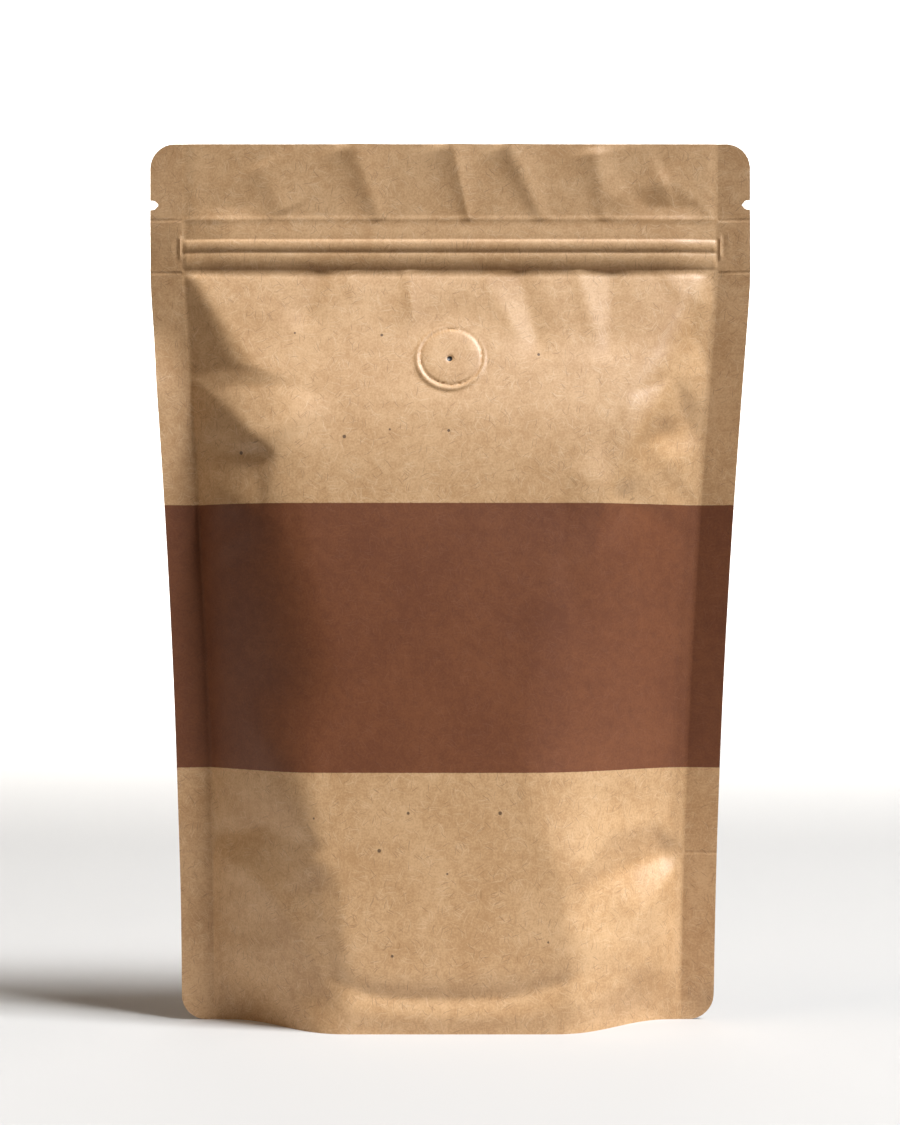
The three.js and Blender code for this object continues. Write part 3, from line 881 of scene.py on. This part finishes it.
def fibres(angle, length, thickness, share):
    """Fibres lying at one angle: every cell of a stretched pattern may hold one."""
    cell_room = 1.7                 # a cell is this many times the size of its fibre
    turned = node("ShaderNodeMapping", vector_type="TEXTURE")
    turned.inputs["Location"].default_value = (37.0 * angle, 11.0 * angle, 0)
    turned.inputs["Rotation"].default_value = (0, 0, angle)
    turned.inputs["Scale"].default_value = (length * cell_room, thickness * cell_room, 1)
    links.new(bent.outputs[0], turned.inputs["Vector"])
    cells = node("ShaderNodeTexVoronoi", voronoi_dimensions="2D", Scale=1.0)
    links.new(turned.outputs[0], cells.inputs["Vector"])
    chosen = node("ShaderNodeSeparateXYZ")
    links.new(cells.outputs["Color"], chosen.inputs[0])
    here = step(chosen.outputs["X"], 1 - share, 1 - share * 0.7)
    return calc("MULTIPLY", step(cells.outputs["Distance"], 0.30, 0.16), here)


pale_fibres = strongest([fibres(angle, 4.0, 0.20, 0.11) for angle in (0.15, 1.0, 1.9, 2.7)])
dark_fibres = strongest([fibres(angle, 3.0, 0.20, 0.07) for angle in (0.5, 1.45, 2.3)])
print(f"with fibres: {len(nodes)} nodes")

# %% [markdown]
# ## Specks
#
# Bark leaves a few dark specks in the pulp. They are too few to leave to chance, so each has its
# place on the front, and a distance node paints a soft dot there. Their sizes take turns.

# %% Specks
specks = [
    (-41.2, 182.0), (-18.0, 181.4), (-27.6, 154.0), (-15.6, 155.9), (-0.2, 155.6), (-56.4, 150.0),
    (-35.6, 55.2), (-10.3, 56.6), (-17.8, 47.0), (-0.2, 41.1), (-14.3, 20.1), (13.4, 56.6),
    (26.2, 23.6), (23.5, 176.1),
]


def distance_to(place):
    """How many millimetres of flat film lie between each point and the place."""
    made = node("ShaderNodeVectorMath", operation="DISTANCE")
    links.new(flat, made.inputs[0])
    made.inputs[1].default_value = (*place, 0)
    return made.outputs["Value"]


speck_marks = []
for number, place in enumerate(specks):
    size = 0.24 + 0.10 * (number % 3)
    speck_marks.append(step(distance_to(place), size + 0.14, size - 0.06))
speck = strongest(speck_marks)
print(f"{len(specks)} specks")

# %% [markdown]
# ## The band of print
#
# The print is one field of ink with straight edges, so it needs no picture: it is where the flat
# height lies between two numbers. Ink creeps a little into paper, so its edges wander by a few
# hundredths of a millimetre. The underside isn't printed.

# %% The band
band_low, band_high = 66.9, 136.6
edge_wander = calc("MULTIPLY", calc("SUBTRACT", noise(1.2, 2.0).outputs["Fac"], 0.5), 0.12)
print_height = calc("ADD", flat_up, edge_wander)
above_low = step(print_height, band_low - 0.1, band_low + 0.1)
above_high = step(print_height, band_high - 0.1, band_high + 0.1)
on_outside = step(flat_across, under_shift - 200, back_shift + 200)
band = calc("MULTIPLY", calc("SUBTRACT", above_low, above_high), on_outside)
print(f"band of print: {band_high - band_low:.1f} mm tall")

# %% [markdown]
# ## Putting the colours together
#
# Each layer is blended over the one before, weakly enough to leave it visible: tone, pale fibres,
# dark fibres. The ink is thin, so the paper's clouds and fibres still show through it, and it gets
# its own three layers in brown. The side welds are made a little darker all over. Last comes the
# painted shade of the pinhole in the valve's middle, where the mesh has only a dimple.

# %% Colour
kraft = blend(tone, linear(186, 143, 97), linear(212, 172, 127))
kraft = blend(calc("MULTIPLY", pale_fibres, 0.32), kraft, linear(232, 203, 166))
kraft = blend(calc("MULTIPLY", dark_fibres, 0.50), kraft, linear(138, 101, 66))
ink = blend(tone, linear(109, 60, 33), linear(126, 74, 42))
ink = blend(calc("MULTIPLY", pale_fibres, 0.16), ink, linear(150, 103, 78))
ink = blend(calc("MULTIPLY", dark_fibres, 0.25), ink, linear(78, 44, 28))
color = blend(band, kraft, ink)
color = blend(calc("MULTIPLY", speck, 0.8), color, linear(66, 44, 28))

on_back = calc("GREATER_THAN", flat_across, 300)
from_middle = calc("ABSOLUTE", calc("ADD", flat_across, calc("MULTIPLY", on_back, -back_shift)))
in_weld = step(from_middle, panel - 0.1, panel + 0.2)
color = blend(calc("MULTIPLY", in_weld, 0.10), color, linear(120, 80, 46), "MULTIPLY")

# Painted shade: the dark inside of the pinhole is painted nearly black over the shallow dimple, as the mesh
# has no hole there.
pinhole_shade = step(distance_to((valve_x, valve_height)), 0.78, 0.62)
color = blend(pinhole_shade, color, linear(14, 10, 8))
print(f"with colour: {len(nodes)} nodes")

# %% [markdown]
# ## Relief and gloss
#
# Under a low light the sheet isn't smooth: it is softly crumpled, and fibres lie on it. These are
# far too fine for the mesh, so a bump node tilts the shading instead. The same node presses the
# creases across the welds, where the tape and the gusset end. Paper laminate is matt with a faint
# wide sheen, so roughness is in the middle and the specular level slightly above the usual one.

# %% Bump and shader
crumple = noise(9.0, 3.0, 0.55).outputs["Fac"]
fine_relief = calc("MULTIPLY_ADD", mottle, 0.018, calc("MULTIPLY", grain, 0.005))
relief = calc("MULTIPLY_ADD", crumple, 0.09, fine_relief)
relief = calc("MULTIPLY_ADD", strongest([pale_fibres, dark_fibres]), 0.004, relief)
for crease_at in (212.6, 198.6, 44.3):
    near = calc("ABSOLUTE", calc("SUBTRACT", print_height, crease_at))
    relief = calc("MULTIPLY_ADD", calc("MULTIPLY", step(near, 0.7, 0.0), in_weld), -0.07, relief)
bump_node = node("ShaderNodeBump", Strength=1.0, Distance=0.001)
links.new(relief, bump_node.inputs["Height"])

shader = node("ShaderNodeBsdfPrincipled", Roughness=0.5)
shader.inputs["Specular IOR Level"].default_value = 0.6
links.new(color, shader.inputs["Base Color"])
links.new(bump_node.outputs[0], shader.inputs["Normal"])
output = node("ShaderNodeOutputMaterial")
links.new(shader.outputs[0], output.inputs[0])
mesh.materials.append(paper)
print(f"paper: {len(nodes)} nodes")

# %% [markdown]
# ## Tying the piece to the part
#
# The dressed pouch takes the place of the CAD solid of the same name, rides on the part's only body,
# and wears its one material slot.

# %% Piece, body and slot
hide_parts("pouch")
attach(pouch, "root")
print("pouch_film takes the place of pouch")

# %% [markdown]
# ## The floor
#
# A studio photo of a pack has no horizon, because the paper behind it curves up from the table. A
# plain floor with a round bend at its back does the same. It starts just in front of the pouch, so
# that it throws little light up onto the skirt.

# %% Floor
def plain_material(name, base_color, roughness):
    made = bpy.data.materials.new(name)
    made.use_nodes = True
    base = made.node_tree.nodes["Principled BSDF"]
    base.inputs["Base Color"].default_value = base_color
    base.inputs["Roughness"].default_value = roughness
    return made


def sweep(front_edge=-0.16, back_edge=3.0, half=0.8, rise=1.6, bend=0.8):
    """A floor that bends up into a wall, all in metres."""
    arc_steps = 12
    profile = [(front_edge, 0.0), (back_edge - bend, 0.0)]
    for k in range(1, arc_steps + 1):
        turn = math.pi / 2 * k / arc_steps
        profile.append((back_edge - bend + bend * math.sin(turn), bend - bend * math.cos(turn)))
    profile.append((back_edge, rise))
    verts = [(x, y, z) for x in (-half, half) for y, z in profile]
    n = len(profile)
    faces = [(k, n + k, n + k + 1, k + 1) for k in range(n - 1)]
    made = bpy.data.meshes.new("floor")
    made.from_pydata(verts, [], faces)
    made.shade_smooth()
    return made


floor = bpy.data.objects.new("floor", sweep())
floor.data.materials.append(plain_material("pale_floor", (0.53, 0.51, 0.48, 1), 0.9))
bpy.context.collection.objects.link(floor)
print(f"floor: {floor.dimensions.x:.1f} m wide, {floor.dimensions.y:.1f} m deep")

# %% [markdown]
# ## The light
#
# In the photo the light comes from high on the right: the left sides of folds are dark, and the
# upper right of the pouch is brightest. One large soft light, slightly cool, makes that. Its shade is
# warm, because a room throws back its own colour, so the world and a weak fill at the left are warm.
# A third light, turned to the wall, makes the surround white.

# %% World and lights
world = bpy.data.worlds.new("studio")
bpy.context.scene.world = world
world.use_nodes = True
world.node_tree.nodes["Background"].inputs["Color"].default_value = (1, 0.72, 0.48, 1)
world.node_tree.nodes["Background"].inputs["Strength"].default_value = 0.07


def softbox(name, azimuth, elevation, distance, size, power, tint=(1.0, 1.0, 1.0)):
    """azimuth 0 is straight in front of the pouch, and 90 is to its right."""
    light = bpy.data.lights.new(name, "AREA")
    light.shape = "RECTANGLE"
    light.size, light.size_y = size
    light.energy = power
    light.color = tint
    made = bpy.data.objects.new(name, light)
    az, el = math.radians(azimuth), math.radians(elevation)
    target = Vector((0, 0, 0.11))
    place = Vector((math.sin(az) * math.cos(el), -math.cos(az) * math.cos(el), math.sin(el))) * distance
    made.location = target + place
    made.rotation_euler = (-place).to_track_quat("-Z", "Y").to_euler()
    bpy.context.collection.objects.link(made)
    return made


key_light = softbox("key", 58, 55, 4.0, (1.4, 1.4), 312, (0.95, 1.0, 1.07))
fill_light = softbox("fill", -65, 50, 3.0, (1.2, 1.2), 15, (1.0, 0.86, 0.72))
wall_light = softbox("wall_light", 0, 60, 2.4, (1.6, 0.8), 190)
wall_light.location = (0, 1.7, 2.2)
wall_light.rotation_euler = (math.radians(62), 0, 0)
for light in (key_light, fill_light, wall_light):
    print(f"{light.name}: {light.data.energy:.0f} W")

# %% [markdown]
# ## The camera
#
# The photo is taken straight from the front, with the eye at about half the pouch's height. The angle
# of view and the distance belong together. A longer distance with a narrower angle would fill the
# picture as well, but it would flatten the belly and the skirt's curve. Everything in the photo is
# sharp, so depth of field stays off.

# %% Camera
camera_data = bpy.data.cameras.new("camera")
camera_data.sensor_fit = "VERTICAL"
camera_data.angle_y = math.radians(22.9)
camera_data.dof.use_dof = False
camera = bpy.data.objects.new("camera", camera_data)
camera.location = (0, -0.740, 0.1109)
camera.rotation_euler = (math.radians(90.81), 0, 0)
bpy.context.collection.objects.link(camera)
bpy.context.scene.camera = camera
bpy.context.scene.view_settings.view_transform = "Standard"
print(f"camera: {-camera.location.y:.2f} m in front of the pouch")
